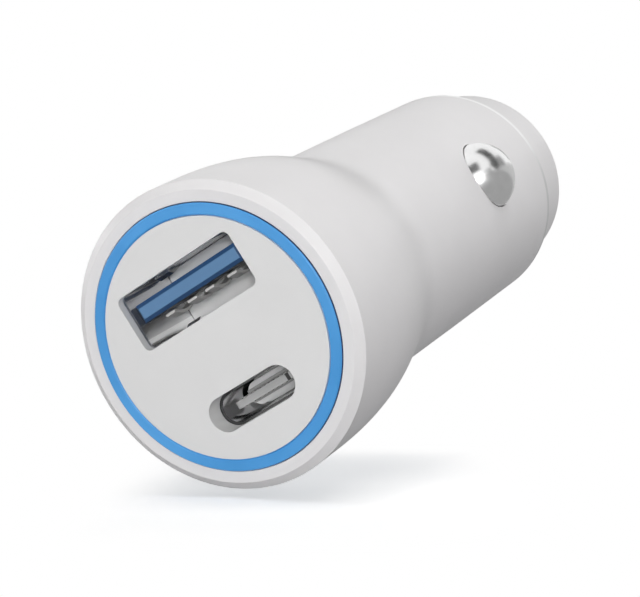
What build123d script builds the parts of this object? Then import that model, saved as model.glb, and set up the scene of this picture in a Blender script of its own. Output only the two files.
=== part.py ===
from build123d import *
from math import sqrt
import os

# Car charger plug with one USB-A and one USB-C port, in millimetres.
# The plug's axis is Y. The origin is at the barrel's root, the head and its face are on the -Y side,
# the tip is on the +Y side, and Z points up from the USB-C port to the USB-A port.

# Head
head_length = 18.4
head_radius = 12.93
rim_chamfer_length = 0.6
rim_chamfer_depth = 0.73
crown_start = 4.4
crown_hold = 10.0
neck_hold = 1.5
cavity_radius = 10.5

# Barrel
barrel_radius = 10.5
barrel_length = 31.2
barrel_draft = 0.06
straight_margin = 0.92
barrel_edge_bevel = 0.2
wall = 1.5
neck_inset = 1.2
cone_length = 4.8
fit_gap = 0.05

# Face plate and light ring
ring_radius = 11.2
ring_width = 1.02
ring_proud = 0.18
ring_depth = 2.6
ring_ledge = 0.55
ring_edge_bevel = 0.12
plate_thickness = 0.8
plate_collar = 0.7
hook_count = 3
hook_width = 3.0
hook_thickness = 0.7
hook_catch = 0.3
hook_overrun = 0.6

# USB-A port
usb_a_z = 4.4
usb_a_width = 12.5
usb_a_height = 5.1
usb_a_corner = 0.6
usb_a_opening_height = 4.9
usb_a_length = 13.5
usb_a_sheet = 0.3
usb_a_setback = 0.3
usb_a_depth = 8.4
tongue_recess = 0.95
tongue_width = 11.5
tongue_thickness = 1.6
tongue_offset = 0.5
tongue_bevel = 0.35
contact_width = 1.0
contact_sheet = 0.25
contact_inner_x = 1.0
contact_outer_x = 3.5
contact_recess = 0.5
contact_dip = 0.9
contact_nose = 1.9
contact_slope = 3.2
contact_tail = 0.8
spring_window_x = 4.2
spring_window_width = 2.2
spring_window_length = 5.6
spring_window_start = 0.6
spring_finger_width = 1.5
spring_finger_dip = 0.45
spring_finger_bend = 3.6
spring_finger_end = 3.0
spring_finger_lift = 0.3
shell_leg_width = 1.3
shell_leg_first = 3.6
shell_leg_pitch = 6.5
shell_leg_overrun = 0.6

# USB-C port
usb_c_z = -5.6
usb_c_width = 8.34
usb_c_height = 2.56
usb_c_sheet = 0.3
usb_c_opening_width = 8.9
usb_c_opening_height = 2.96
usb_c_recess = 1.9
usb_c_length = 8.0
usb_c_depth = 4.0
blade_recess = 0.4
blade_width = 6.69
blade_thickness = 0.62
blade_step_length = 0.8
blade_step_thickness = 1.2
block_relief = 0.25
block_relief_length = 1.2
pad_count = 12
pad_pitch = 0.5
pad_width = 0.26
pad_length = 2.4
pad_thickness = 0.06

# Boards
board_thickness = 1.0
board_gap = 0.4
slot_gap = 0.1
rail_reach = 1.0
rail_height = 1.1
rail_start = 1.5
rail_setback = 1.4
shoulder_gap = 1.45
board_tongue_width = 8.0
port_board_thickness = 0.8
port_board_width = 13.0
port_board_end = 2.0
pin_count = 5
pin_pitch = 2.0
pin_side = 0.64
pin_overrun = 0.5
pin_row_y = -1.6
strip_width = 2.0

# Parts on the boards
inductor_size = 7.0
inductor_height = 4.2
inductor_chamfer = 1.2
inductor_y = 3.2
can_radius = 3.15
can_length = 7.7
can_x = 3.4
can_y = 3.4
can_gap = 0.3
can_groove_depth = 0.3
can_groove_width = 0.8
can_edge = 0.35
can_lead_side = 0.6
can_lead_pitch = 2.5
can_lead_run = 0.9
chip_size = 5.0
chip_height = 0.9
power_chip_y = -6.5
port_chip_y = -7.5
fuse_size = (3.2, 1.6, 0.7)
fuse_y = 10.2
cap_size = (0.8, 1.6, 0.8)
cap_count = 4
cap_pitch = 2.4
cap_x = 5.4
cap_y = 1.2
led_size = (1.6, 0.8, 0.6)
led_inset = 0.4
led_setback = 0.15

# Ground contacts
dome_setback = 11.75
dome_radius = 3.25
dome_rise = 2.1
dome_edge_drop = 0.25
dome_gap = 0.08
dome_pocket_radius = 2.4
dome_pocket_roof = 2.0
flange_overlap = 0.7
flange_thickness = 0.6
flange_seat = 7.75
boss_margin = 0.45
bracket_sheet = 0.4
bracket_gap = 0.1
bracket_width = 5.2
bracket_height = 5.2
bracket_pip_radius = 1.2
bracket_pip_height = 0.7
ground_spring_radius = 1.85
ground_spring_wire = 0.4
ground_spring_turns = 3

# Nose and tip contact
nose_length = 7.0
nose_root_radius = 9.75
nose_end_radius = 9.15
nose_edge_bevel = 0.6
nose_spigot_length = 5.2
nose_wall = 1.2
nose_end_wall = 1.6
tip_radius = 3.0
tip_reach = 3.0
tip_bevel = 1.1
tip_gap = 0.08
tip_flange_overlap = 1.3
tip_flange_thickness = 0.8
tip_stem_radius = 1.5
tip_stem_length = 2.0
terminal_sheet = 0.4
terminal_radius = 3.3
terminal_foot_length = 3.6
terminal_foot_width = 4.0
terminal_pip_radius = 1.5
terminal_pip_height = 0.8
tip_spring_radius = 2.05
tip_spring_wire = 0.5
tip_spring_turns = 4

# Levels that several pieces share
rim_y = -head_length
face_y = rim_y - ring_proud
plate_back_y = face_y + plate_thickness
ring_back_y = rim_y + ring_depth
ring_inner_radius = ring_radius - ring_width
ledge_radius = ring_inner_radius - ring_ledge
rim_flat_radius = head_radius - rim_chamfer_depth
crown_y = rim_y + crown_start
cone_end_y = -neck_inset
cone_start_y = cone_end_y - cone_length
bore_radius = barrel_radius - wall
barrel_end_radius = barrel_radius - barrel_draft

usb_a_front_y = plate_back_y + usb_a_setback
usb_a_back_y = usb_a_front_y + usb_a_length
usb_a_outer_width = usb_a_width + 2 * usb_a_sheet
usb_a_outer_height = usb_a_height + 2 * usb_a_sheet
tongue_z = usb_a_z + tongue_offset
tongue_low_z = tongue_z - tongue_thickness / 2
tongue_front_y = face_y + tongue_recess
usb_a_wall_y = face_y + usb_a_depth

usb_c_front_y = face_y + usb_c_recess
usb_c_back_y = usb_c_front_y + usb_c_length
usb_c_wall_y = usb_c_front_y + usb_c_depth
usb_c_outer_width = usb_c_width + 2 * usb_c_sheet
usb_c_outer_height = usb_c_height + 2 * usb_c_sheet
blade_front_y = usb_c_front_y + blade_recess

board_top = usb_a_z - usb_a_outer_height / 2
board_low = board_top - board_thickness
board_front_y = ring_back_y + slot_gap
board_head_half = sqrt(cavity_radius**2 - board_top**2) - board_gap
board_half = sqrt(bore_radius**2 - board_top**2) - board_gap
port_board_low = usb_c_z + usb_c_outer_height / 2
port_board_top = port_board_low + port_board_thickness
port_board_front_y = ring_back_y + slot_gap

dome_y = barrel_length - dome_setback
dome_top_x = barrel_radius + dome_rise
dome_edge_x = barrel_radius - dome_edge_drop
dome_hole_radius = dome_radius + dome_gap
barrel_straight = dome_y - dome_hole_radius - straight_margin
flange_radius = dome_hole_radius + flange_overlap
board_shoulder_y = dome_y - flange_radius - shoulder_gap
rail_end_y = board_shoulder_y - rail_setback
flange_low_x = flange_seat - flange_thickness
pocket_roof_x = dome_top_x - dome_pocket_roof
tongue_half = board_tongue_width / 2
bracket_inner_x = tongue_half + bracket_gap
bracket_outer_x = bracket_inner_x + bracket_sheet

nose_end_y = barrel_length + nose_length
nose_bore_radius = bore_radius - fit_gap - nose_wall
tip_flange_y = nose_end_y - nose_end_wall - tip_flange_thickness
tip_hole_radius = tip_radius + tip_gap
tip_flange_radius = tip_hole_radius + tip_flange_overlap
board_end_y = dome_y + flange_radius + board_gap
terminal_face_y = board_end_y + terminal_sheet


def turned(*edges):
    """A solid of revolution about the plug's axis, from a closed outline with X as radius."""
    return revolve(make_face(Curve() + list(edges)), Axis.Y)


def ring(outer, inner, start, end):
    """A plain round tube about the plug's axis."""
    return turned(Polyline((inner, start), (outer, start), (outer, end), (inner, end), close=True))


def block(size, center):
    return Pos(*center) * Box(*size)


def along_y(sketch, start, length):
    """Extrudes a sketch drawn with X across and Y up from start towards the tip."""
    return extrude(Plane((0, start, 0), x_dir=(1, 0, 0), z_dir=(0, -1, 0)) * sketch, -length)


def across_x(points, width, x=0):
    """A strip bent in the plane of Y and Z, width wide and centred at x."""
    side = Plane((x, 0, 0), x_dir=(0, 1, 0), z_dir=(1, 0, 0))
    return extrude(side * make_face(Polyline(*points, close=True)), width / 2, both=True)


def rounded(width, height, corner, z):
    return Pos(0, z) * RectangleRounded(width, height, corner)


def stadium(width, height, z):
    return Pos(0, z) * SlotOverall(width, height)


def coil(start, direction, length, radius, wire, turns):
    """A compression spring of square wire that lies between its two seats."""
    reach = wire / sqrt(2)
    rise = length - 2 * reach
    foot = Vector(start) + Vector(direction) * reach
    helix = Helix(rise / turns, rise, radius, center=foot, direction=direction)
    section = Plane(helix @ 0, x_dir=helix @ 0 - foot, z_dir=helix % 0) * Rectangle(wire, wire)
    return sweep(section, helix, is_frenet=True)


def both_sides(solid):
    return solid + mirror(solid, Plane.YZ)


def housing_shell():
    """The outer form: chamfered rim, crowned head, swept neck and barrel, hollowed from both ends."""
    rim = Line((0, rim_y), (rim_flat_radius, rim_y))
    bevel = Line(rim @ 1, (head_radius, rim_y + rim_chamfer_length))
    brow = Line(bevel @ 1, (head_radius, crown_y))
    neck = Bezier(brow @ 1, (head_radius, crown_y + crown_hold), (barrel_radius, -neck_hold), (barrel_radius, 0))
    straight = Line(neck @ 1, (barrel_radius, barrel_straight))
    draft = Line(straight @ 1, (barrel_end_radius, barrel_length - barrel_edge_bevel))
    edge = Line(draft @ 1, (barrel_end_radius - barrel_edge_bevel, barrel_length))
    end = Line(edge @ 1, (0, barrel_length))
    axis = Line(end @ 1, rim @ 0)
    return turned(rim, bevel, brow, neck, straight, draft, edge, end, axis)


def housing_cavity():
    """The light ring's seat, the head's cavity, the cone under the neck and the barrel's bore."""
    seat_radius = ring_radius + fit_gap
    return turned(Polyline(
        (0, rim_y), (seat_radius, rim_y), (seat_radius, ring_back_y), (cavity_radius, ring_back_y),
        (cavity_radius, cone_start_y), (bore_radius, cone_end_y), (bore_radius, barrel_length),
        (0, barrel_length), close=True))


def board_rails():
    """Two pairs of ribs in the bore that hold the power board by its edges."""
    reach = bore_radius - board_half + rail_reach + wall / 2
    x = board_half - rail_reach + reach / 2
    length = rail_end_y - rail_start
    y = rail_start + length / 2
    upper = block((reach, length, rail_height), (x, y, board_top + slot_gap + rail_height / 2))
    lower = block((reach, length, rail_height), (x, y, board_low - slot_gap - rail_height / 2))
    return both_sides(upper + lower)


def housing():
    """The shell with rails for the board, and flat bosses inside that stop the ground contacts' flanges."""
    shell = housing_shell() - housing_cavity() + board_rails()
    mid_wall_radius = barrel_radius - wall / 2
    boss_length = mid_wall_radius - flange_seat
    boss = Pos(flange_seat + boss_length / 2, dome_y, 0) * Rot(0, 90, 0) * Cylinder(
        flange_radius + boss_margin, boss_length)
    boss &= ring(mid_wall_radius, 0, 0, barrel_length)
    hole = Pos(barrel_radius, dome_y, 0) * Rot(0, 90, 0) * Cylinder(dome_hole_radius, barrel_radius)
    return shell + both_sides(boss) - both_sides(hole)


def light_ring():
    """An L section: the lit rim that shows, and the ledge behind it that the face plate sits on."""
    bevel = ring_edge_bevel
    return turned(Polyline(
        (ring_inner_radius + bevel, face_y), (ring_radius - bevel, face_y), (ring_radius, face_y + bevel),
        (ring_radius, ring_back_y), (ledge_radius, ring_back_y), (ledge_radius, plate_back_y),
        (ring_inner_radius, plate_back_y), (ring_inner_radius, face_y + bevel), close=True))


def plate_hooks():
    """Snap legs that pass inside the light ring's ledge and catch behind it."""
    outer = sqrt((ledge_radius - fit_gap) ** 2 - (hook_width / 2) ** 2)
    inner = outer - hook_thickness
    back = ring_back_y + fit_gap
    end = back + hook_overrun
    leg = across_x([(plate_back_y, inner), (plate_back_y, outer), (back, outer),
                    (back, outer + hook_catch), (end, outer), (end, inner)], hook_width)
    return [Rot(0, i * 360 / hook_count, 0) * leg for i in range(hook_count)]


def face_plate():
    plate = ring(ring_inner_radius - fit_gap, 0, face_y, plate_back_y)
    collar_length = usb_c_front_y - fit_gap - face_y
    collar = stadium(usb_c_opening_width + 2 * plate_collar, usb_c_opening_height + 2 * plate_collar, usb_c_z)
    plate += along_y(collar, face_y, collar_length)
    plate += plate_hooks()
    plate -= along_y(stadium(usb_c_opening_width, usb_c_opening_height, usb_c_z), face_y, collar_length)
    return plate - along_y(rounded(usb_a_width, usb_a_opening_height, usb_a_corner, usb_a_z),
                           face_y, plate_thickness)


def spring_fingers():
    """Leaf springs of the USB-A shell: each starts at its window's far end and dips into the port."""
    near = usb_a_front_y + spring_window_start
    far = near + spring_window_length
    high = usb_a_height / 2
    low = high - spring_finger_dip
    under = [(far, high), (near + spring_finger_bend, low), (near + spring_finger_end, low + spring_finger_lift)]
    finger = under + [(y, z + usb_a_sheet) for y, z in reversed(under)]
    return [across_x([(y, usb_a_z + side * z) for y, z in finger], spring_finger_width, x)
            for side in (1, -1) for x in (spring_window_x, -spring_window_x)]


def spring_windows():
    y = usb_a_front_y + spring_window_start + spring_window_length / 2
    return [block((spring_window_width, spring_window_length, usb_a_outer_height), (x, y, usb_a_z))
            for x in (spring_window_x, -spring_window_x)]


def shell_legs(gap=0.0):
    """The USB-A shell's solder legs, or the slots for them in the board."""
    x = usb_a_outer_width / 2 - usb_a_sheet / 2
    top = usb_a_z
    low = board_low - shell_leg_overrun
    legs = []
    for i in range(2):
        y = usb_a_front_y + shell_leg_first + i * shell_leg_pitch
        legs.append(block((usb_a_sheet + 2 * gap, shell_leg_width + 2 * gap, top - low), (x, y, (top + low) / 2)))
    return both_sides(Part() + legs)


def usb_a_shell():
    outer = rounded(usb_a_outer_width, usb_a_outer_height, usb_a_corner + usb_a_sheet, usb_a_z)
    inner = rounded(usb_a_width, usb_a_height, usb_a_corner, usb_a_z)
    tube = along_y(outer, usb_a_front_y, usb_a_length) + shell_legs()
    tube -= along_y(inner, usb_a_front_y, usb_a_length)
    tube -= spring_windows()
    return tube + spring_fingers()


def contact_places():
    return [-contact_outer_x, -contact_inner_x, contact_inner_x, contact_outer_x]


def usb_a_contact(x):
    """One strip: a spring bow under the tongue, a run to the back and a tail down to the board."""
    nose = tongue_front_y + contact_recess
    bow = nose + contact_nose
    tail = usb_a_back_y + contact_tail
    upper = [(nose, tongue_low_z), (bow, tongue_low_z - contact_dip), (bow + contact_slope, tongue_low_z)]
    lower = [(y, z - contact_sheet) for y, z in reversed(upper)]
    down = [(tail + contact_sheet, tongue_low_z), (tail + contact_sheet, board_top), (tail, board_top),
            (tail, tongue_low_z - contact_sheet)]
    return across_x(upper + down + lower, contact_width, x)


def usb_a_insulator():
    """The blue moulding: a bevelled tongue and the block that closes the shell's back."""
    tongue = block((tongue_width, usb_a_wall_y - tongue_front_y, tongue_thickness),
                   (0, (tongue_front_y + usb_a_wall_y) / 2, tongue_z))
    tongue = chamfer(tongue.faces().sort_by(Axis.Y)[0].edges(), tongue_bevel)
    section = rounded(usb_a_width - 2 * fit_gap, usb_a_height - 2 * fit_gap, usb_a_corner, usb_a_z)
    body = tongue + along_y(section, usb_a_wall_y, usb_a_back_y - usb_a_wall_y)
    grooves = [block((contact_width + 2 * fit_gap, usb_a_back_y - usb_a_wall_y, contact_sheet + fit_gap),
                     (x, (usb_a_back_y + usb_a_wall_y) / 2, tongue_low_z - (contact_sheet + fit_gap) / 2))
               for x in contact_places()]
    return body - grooves


def usb_c_shell():
    outer = stadium(usb_c_outer_width, usb_c_outer_height, usb_c_z)
    inner = stadium(usb_c_width, usb_c_height, usb_c_z)
    return along_y(outer - inner, usb_c_front_y, usb_c_length)


def usb_c_insulator():
    """The tongue, its thicker root and the block that closes the shell's back, relieved round its front."""
    blade = block((blade_width, usb_c_wall_y - blade_front_y, blade_thickness),
                  (0, (usb_c_wall_y + blade_front_y) / 2, usb_c_z))
    blade = fillet(blade.faces().sort_by(Axis.Y)[0].edges().filter_by(Axis.Z), blade_thickness)
    root = block((blade_width, blade_step_length, blade_step_thickness),
                 (0, usb_c_wall_y - blade_step_length / 2, usb_c_z))
    section = stadium(usb_c_width - 2 * fit_gap, usb_c_height - 2 * fit_gap, usb_c_z)
    front = stadium(usb_c_width - 2 * block_relief, usb_c_height - 2 * block_relief, usb_c_z)
    relief_end = usb_c_wall_y + block_relief_length
    back = along_y(front, usb_c_wall_y, block_relief_length) + along_y(section, relief_end, usb_c_back_y - relief_end)
    return blade + root + back


def usb_c_contacts():
    first = -(pad_count - 1) * pad_pitch / 2
    end = usb_c_wall_y - blade_step_length
    lift = (blade_thickness + pad_thickness) / 2
    return [block((pad_width, pad_length, pad_thickness),
                  (first + i * pad_pitch, end - pad_length / 2, usb_c_z + side * lift))
            for side in (1, -1) for i in range(pad_count)]


def pin_places():
    first = -(pin_count - 1) * pin_pitch / 2
    return [first + i * pin_pitch for i in range(pin_count)]


def pin_bars():
    """The square pins that join the two boards, and the shape of their holes."""
    low = port_board_low - pin_overrun
    high = board_top + pin_overrun
    return [block((pin_side, pin_side, high - low), (x, pin_row_y, (low + high) / 2)) for x in pin_places()]


def header_strip():
    height = board_low - port_board_top
    strip = block((pin_count * pin_pitch, strip_width, height), (0, pin_row_y, (board_low + port_board_top) / 2))
    return strip - pin_bars()


def power_board():
    """Wide under the USB-A port, narrowing with the neck, and a tongue between the ground contacts."""
    outline = [(board_head_half, board_front_y), (board_head_half, cone_start_y), (board_half, cone_end_y),
               (board_half, board_shoulder_y), (tongue_half, board_shoulder_y), (tongue_half, board_end_y)]
    half = make_face(Polyline((0, board_front_y), *outline, (0, board_end_y), close=True))
    sheet = extrude(Pos(0, 0, board_low) * (half + mirror(half, Plane.YZ)), board_thickness)
    return sheet - shell_legs(slot_gap) - pin_bars()


def port_board():
    length = port_board_end - port_board_front_y
    sheet = block((port_board_width, length, port_board_thickness),
                  (0, port_board_front_y + length / 2, (port_board_top + port_board_low) / 2))
    return sheet - pin_bars()


def power_inductor():
    core = Box(inductor_size, inductor_size, inductor_height)
    core = chamfer(core.edges().filter_by(Axis.Z), inductor_chamfer)
    return Pos(0, inductor_y, board_top + inductor_height / 2) * core


def electrolytic(x):
    """A can that lies under the board, with a rolled groove by its bung and two leads bent up to the board."""
    groove = can_length - 2 * can_groove_width
    inset = can_radius - can_groove_depth
    can = turned(Polyline(
        (0, 0), (can_radius - can_edge, 0), (can_radius, can_edge), (can_radius, groove),
        (inset, groove + can_groove_width / 2), (can_radius, groove + can_groove_width),
        (can_radius, can_length), (0, can_length), close=True))
    rise = can_gap + can_radius
    half = can_lead_side / 2
    bend = can_length + can_lead_run
    lead = across_x([(can_length, half), (can_length, -half), (bend + half, -half), (bend + half, rise),
                     (bend - half, rise), (bend - half, half)], can_lead_side)
    leads = [Pos(side * can_lead_pitch / 2, 0, 0) * lead for side in (-1, 1)]
    return Pos(x, can_y, board_low - rise) * (can + leads)


def square_chip(y, z):
    return block((chip_size, chip_size, chip_height), (0, y, z))


def chip_capacitors():
    height = cap_size[2]
    return [block(cap_size, (side * cap_x, cap_y + i * cap_pitch, board_top + height / 2))
            for side in (1, -1) for i in range(cap_count)]


def chip_fuse():
    return block(fuse_size, (0, fuse_y, board_top + fuse_size[2] / 2))


def indicator_leds():
    width, depth, height = led_size
    x = board_head_half - led_inset - width / 2
    y = board_front_y + led_setback + depth / 2
    return [block(led_size, (side * x, y, board_top + height / 2)) for side in (1, -1)]


def ground_contact():
    """A turned pin with a domed end, a flange that stops behind the housing's wall and a spring pocket."""
    dome = TangentArc((0, dome_top_x), (dome_radius, dome_edge_x), tangent=(1, 0))
    outline = Polyline(dome @ 1, (dome_radius, flange_seat), (flange_radius, flange_seat),
                       (flange_radius, flange_low_x), (dome_pocket_radius, flange_low_x),
                       (dome_pocket_radius, pocket_roof_x), (0, pocket_roof_x), dome @ 0)
    return Pos(0, dome_y, 0) * Rot(0, 0, -90) * revolve(make_face(Curve() + [dome, outline]), Axis.Y)


def ground_bracket():
    """A bent strip under the board's tongue whose two cheeks carry the ground springs."""
    base = block((2 * bracket_outer_x, bracket_width, bracket_sheet),
                 (0, dome_y, board_low - bracket_sheet / 2))
    cheek = block((bracket_sheet, bracket_width, bracket_height), (bracket_inner_x + bracket_sheet / 2, dome_y, 0))
    pip = Pos(bracket_outer_x + bracket_pip_height / 2, dome_y, 0) * Rot(0, 90, 0) * Cylinder(
        bracket_pip_radius, bracket_pip_height)
    return base + both_sides(cheek + pip)


def ground_spring():
    return coil((bracket_outer_x, dome_y, 0), (1, 0, 0), pocket_roof_x - bracket_outer_x,
                ground_spring_radius, ground_spring_wire, ground_spring_turns)


def nose_cap():
    """The tapered nose with a spigot in the barrel's bore and a hole for the tip contact."""
    spigot_radius = bore_radius - fit_gap
    spigot_y = barrel_length - nose_spigot_length
    return turned(Polyline(
        (nose_bore_radius, spigot_y), (spigot_radius, spigot_y), (spigot_radius, barrel_length),
        (nose_root_radius, barrel_length), (nose_end_radius, nose_end_y - nose_edge_bevel),
        (nose_end_radius - nose_edge_bevel, nose_end_y), (tip_hole_radius, nose_end_y),
        (tip_hole_radius, nose_end_y - nose_end_wall), (nose_bore_radius, nose_end_y - nose_end_wall),
        close=True))


def tip_contact():
    """The sprung centre contact: a bevelled pin, a flange inside the nose and a stem for the spring."""
    top = nose_end_y + tip_reach
    seat = tip_flange_y + tip_flange_thickness
    return turned(Polyline(
        (0, tip_flange_y - tip_stem_length), (tip_stem_radius, tip_flange_y - tip_stem_length),
        (tip_stem_radius, tip_flange_y), (tip_flange_radius, tip_flange_y), (tip_flange_radius, seat),
        (tip_radius, seat), (tip_radius, top - tip_bevel), (tip_radius - tip_bevel, top), (0, top), close=True))


def tip_terminal():
    """A plate at the board's end that the tip spring sits on, with a foot on the board."""
    disc = ring(terminal_radius, 0, board_end_y, terminal_face_y)
    pip = ring(terminal_pip_radius, 0, terminal_face_y, terminal_face_y + terminal_pip_height)
    length = terminal_foot_length + terminal_sheet
    foot = block((terminal_foot_width, length, terminal_sheet),
                 (0, terminal_face_y - length / 2, board_top + terminal_sheet / 2))
    return disc + pip + foot


def tip_spring():
    return coil((0, terminal_face_y, 0), (0, 1, 0), tip_flange_y - terminal_face_y,
                tip_spring_radius, tip_spring_wire, tip_spring_turns)


def on_the_left(solid):
    return mirror(solid, Plane.YZ)


pieces = {
    "housing": housing(),
    "face_plate": face_plate(),
    "light_ring": light_ring(),
    "usb_a_shell": usb_a_shell(),
    "usb_a_insulator": usb_a_insulator(),
    "usb_a_contacts": [usb_a_contact(x) for x in contact_places()],
    "usb_c_shell": usb_c_shell(),
    "usb_c_insulator": usb_c_insulator(),
    "usb_c_contacts": usb_c_contacts(),
    "power_board": power_board(),
    "port_board": port_board(),
    "header_strip": header_strip(),
    "header_pins": pin_bars(),
    "power_inductor": power_inductor(),
    "input_capacitor": electrolytic(-can_x),
    "output_capacitor": electrolytic(can_x),
    "power_controller": square_chip(power_chip_y, board_low - chip_height / 2),
    "port_controller": square_chip(port_chip_y, port_board_top + chip_height / 2),
    "chip_capacitors": chip_capacitors(),
    "chip_fuse": chip_fuse(),
    "indicator_leds": indicator_leds(),
    "ground_contact_right": ground_contact(),
    "ground_contact_left": on_the_left(ground_contact()),
    "ground_spring_right": ground_spring(),
    "ground_spring_left": on_the_left(ground_spring()),
    "ground_bracket": ground_bracket(),
    "nose_cap": nose_cap(),
    "tip_contact": tip_contact(),
    "tip_spring": tip_spring(),
    "tip_terminal": tip_terminal(),
}

os.makedirs("parts", exist_ok=True)
for name, piece in pieces.items():
    shape = Compound(children=piece) if isinstance(piece, list) else piece
    export_step(shape, f"parts/{name}.step")
    print(name, round(shape.volume, 2))
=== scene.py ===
# %% [markdown]
# # A car charger plug
# The object is a plug for a car's power socket: a white moulded housing with a flared head, a blue light
# ring round a face with two USB ports, a chrome button on each side of the barrel and a tip on a spring.
# The solid pieces come from the CAD frame. This lesson sets up the camera and the light, gives the pieces
# their finishes, draws the housing again with a softer neck, bends the contact strips and winds the
# springs. Lengths are in metres where nothing else is said.

# %% The frame
import math

import bmesh
import bpy
from mathutils import Matrix, Vector
from mathutils.geometry import interpolate_bezier


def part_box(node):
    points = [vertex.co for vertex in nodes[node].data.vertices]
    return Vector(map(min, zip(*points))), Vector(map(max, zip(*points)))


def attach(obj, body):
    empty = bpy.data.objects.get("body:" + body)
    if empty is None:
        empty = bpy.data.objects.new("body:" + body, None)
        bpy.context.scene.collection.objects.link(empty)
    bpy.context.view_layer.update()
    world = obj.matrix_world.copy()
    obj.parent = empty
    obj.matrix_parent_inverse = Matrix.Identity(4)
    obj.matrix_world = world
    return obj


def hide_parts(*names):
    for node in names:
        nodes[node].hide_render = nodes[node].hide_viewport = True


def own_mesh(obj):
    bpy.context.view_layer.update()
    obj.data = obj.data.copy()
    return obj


def in_mm(metres):
    """Lengths in millimetres, rounded for printing."""
    return [round(length * 1000, 2) for length in metres]


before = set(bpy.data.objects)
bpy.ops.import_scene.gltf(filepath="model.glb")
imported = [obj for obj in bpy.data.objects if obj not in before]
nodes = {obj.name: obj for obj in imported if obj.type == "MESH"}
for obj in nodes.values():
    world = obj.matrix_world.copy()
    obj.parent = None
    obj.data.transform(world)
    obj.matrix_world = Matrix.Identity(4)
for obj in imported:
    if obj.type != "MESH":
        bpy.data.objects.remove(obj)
scene = bpy.context.scene
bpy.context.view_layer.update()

# %% [markdown]
# ## The camera
# The photograph looks at the face from the right, level with the plug's axis, and the plug is rolled in the
# picture. A camera can be aimed with a Track To constraint, but then the roll is hard to set. Here the
# camera's three axes are written as the columns of its matrix, so the view and the roll come from one
# place.

# %% Camera
camera_data = bpy.data.cameras.new("photo_camera")
camera_data.sensor_fit = "HORIZONTAL"
camera_data.sensor_width = 36.0
camera_data.lens = 119.08
camera_data.clip_start = 0.01
camera = bpy.data.objects.new("photo_camera", camera_data)
scene.collection.objects.link(camera)
eye = Vector((0.09335, -0.15954, -0.00166))
right = Vector((0.7326, 0.4317, -0.5261))
up = Vector((0.4533, 0.2671, 0.8503))
back = right.cross(up)
turn = Matrix((right, up, back)).transposed().to_4x4()
camera.matrix_world = Matrix.Translation(eye) @ turn
bpy.context.scene.camera = camera
print("camera looks along", [round(v, 3) for v in -back])

# %% [markdown]
# ## The floor
# The photograph has a plain white ground with a faint blue-grey shadow that lies level in the picture,
# under the plug's lowest point. So the floor stands square to the camera's upright axis, just under the
# rim. A plane object could be turned into place, but here one grid face takes its place in the mesh.
# Reflections look past the floor, which keeps the underside of the head dark.

# %% Floor
floor_gap = 0.0007
scene.view_settings.view_transform = "Standard"
floor_up = up.normalized()
lowest = min(floor_up.dot(nodes["housing"].matrix_world @ v.co) for v in nodes["housing"].data.vertices)
floor_mesh = bpy.data.meshes.new("floor")
bm = bmesh.new()
bmesh.ops.create_grid(bm, x_segments=1, y_segments=1, size=3.0)
tilt = Vector((0, 0, 1)).rotation_difference(floor_up).to_matrix().to_4x4()
lay = Matrix.Translation(floor_up * (lowest - floor_gap)) @ tilt
bmesh.ops.transform(bm, verts=bm.verts, matrix=lay)
bm.to_mesh(floor_mesh)
bm.free()
floor = bpy.data.objects.new("floor", floor_mesh)
scene.collection.objects.link(floor)
floor.visible_glossy = False
print("floor", round(-lowest * 1000, 2), "mm under the plug's axis")

# %% [markdown]
# ## The floor's paper
# A share of real shading keeps the shadow close to the plug, and further out and to the sides the paper
# fades to white, as the photograph's ground does. Only the camera, mirrors and glass see that. For all
# other light the paper is a plain grey that sends a little of it back. It is clear from below, so that a
# view from under it still shows the plug.

# %% Floor paper
fade_start = 0.02
fade_end = 0.05
side_fade_start = 0.009
side_fade_end = 0.018


def seen_directly(tree):
    """A node value that is 1 for the camera, for mirror rays and for rays through glass."""
    path = tree.nodes.new("ShaderNodeLightPath")
    mirror = tree.nodes.new("ShaderNodeMath")
    mirror.operation = "MAXIMUM"
    tree.links.new(path.outputs["Is Camera Ray"], mirror.inputs[0])
    tree.links.new(path.outputs["Is Glossy Ray"], mirror.inputs[1])
    clear = tree.nodes.new("ShaderNodeMath")
    clear.operation = "MAXIMUM"
    tree.links.new(mirror.outputs[0], clear.inputs[0])
    tree.links.new(path.outputs["Is Transmission Ray"], clear.inputs[1])
    return clear.outputs[0]


floor_finish = bpy.data.materials.new("floor_paper")
floor_finish.use_nodes = True
tree = floor_finish.node_tree
tree.nodes.clear()
bounce = tree.nodes.new("ShaderNodeBsdfDiffuse")
bounce.inputs["Color"].default_value = (0.36, 0.36, 0.37, 1)
paper = tree.nodes.new("ShaderNodeBsdfDiffuse")
paper.inputs["Color"].default_value = (0.9, 0.86, 0.82, 1)
glow = tree.nodes.new("ShaderNodeEmission")
glow.inputs["Color"].default_value = (0.37, 0.4, 0.43, 1)
glow.inputs["Strength"].default_value = 1.0
sheet = tree.nodes.new("ShaderNodeAddShader")
tree.links.new(paper.outputs[0], sheet.inputs[0])
tree.links.new(glow.outputs[0], sheet.inputs[1])
place = tree.nodes.new("ShaderNodeTexCoord")
reach = tree.nodes.new("ShaderNodeVectorMath")
reach.operation = "DISTANCE"
reach.inputs[1].default_value = floor_up * lowest
tree.links.new(place.outputs["Object"], reach.inputs[0])
fade = tree.nodes.new("ShaderNodeMapRange")
fade.interpolation_type = "SMOOTHSTEP"
fade.inputs["From Min"].default_value = fade_start
fade.inputs["From Max"].default_value = fade_end
tree.links.new(reach.outputs["Value"], fade.inputs["Value"])
sideways = tree.nodes.new("ShaderNodeVectorMath")
sideways.operation = "DOT_PRODUCT"
sideways.inputs[1].default_value = right
tree.links.new(place.outputs["Object"], sideways.inputs[0])
offset = tree.nodes.new("ShaderNodeMath")
offset.operation = "ABSOLUTE"
tree.links.new(sideways.outputs["Value"], offset.inputs[0])
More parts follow.
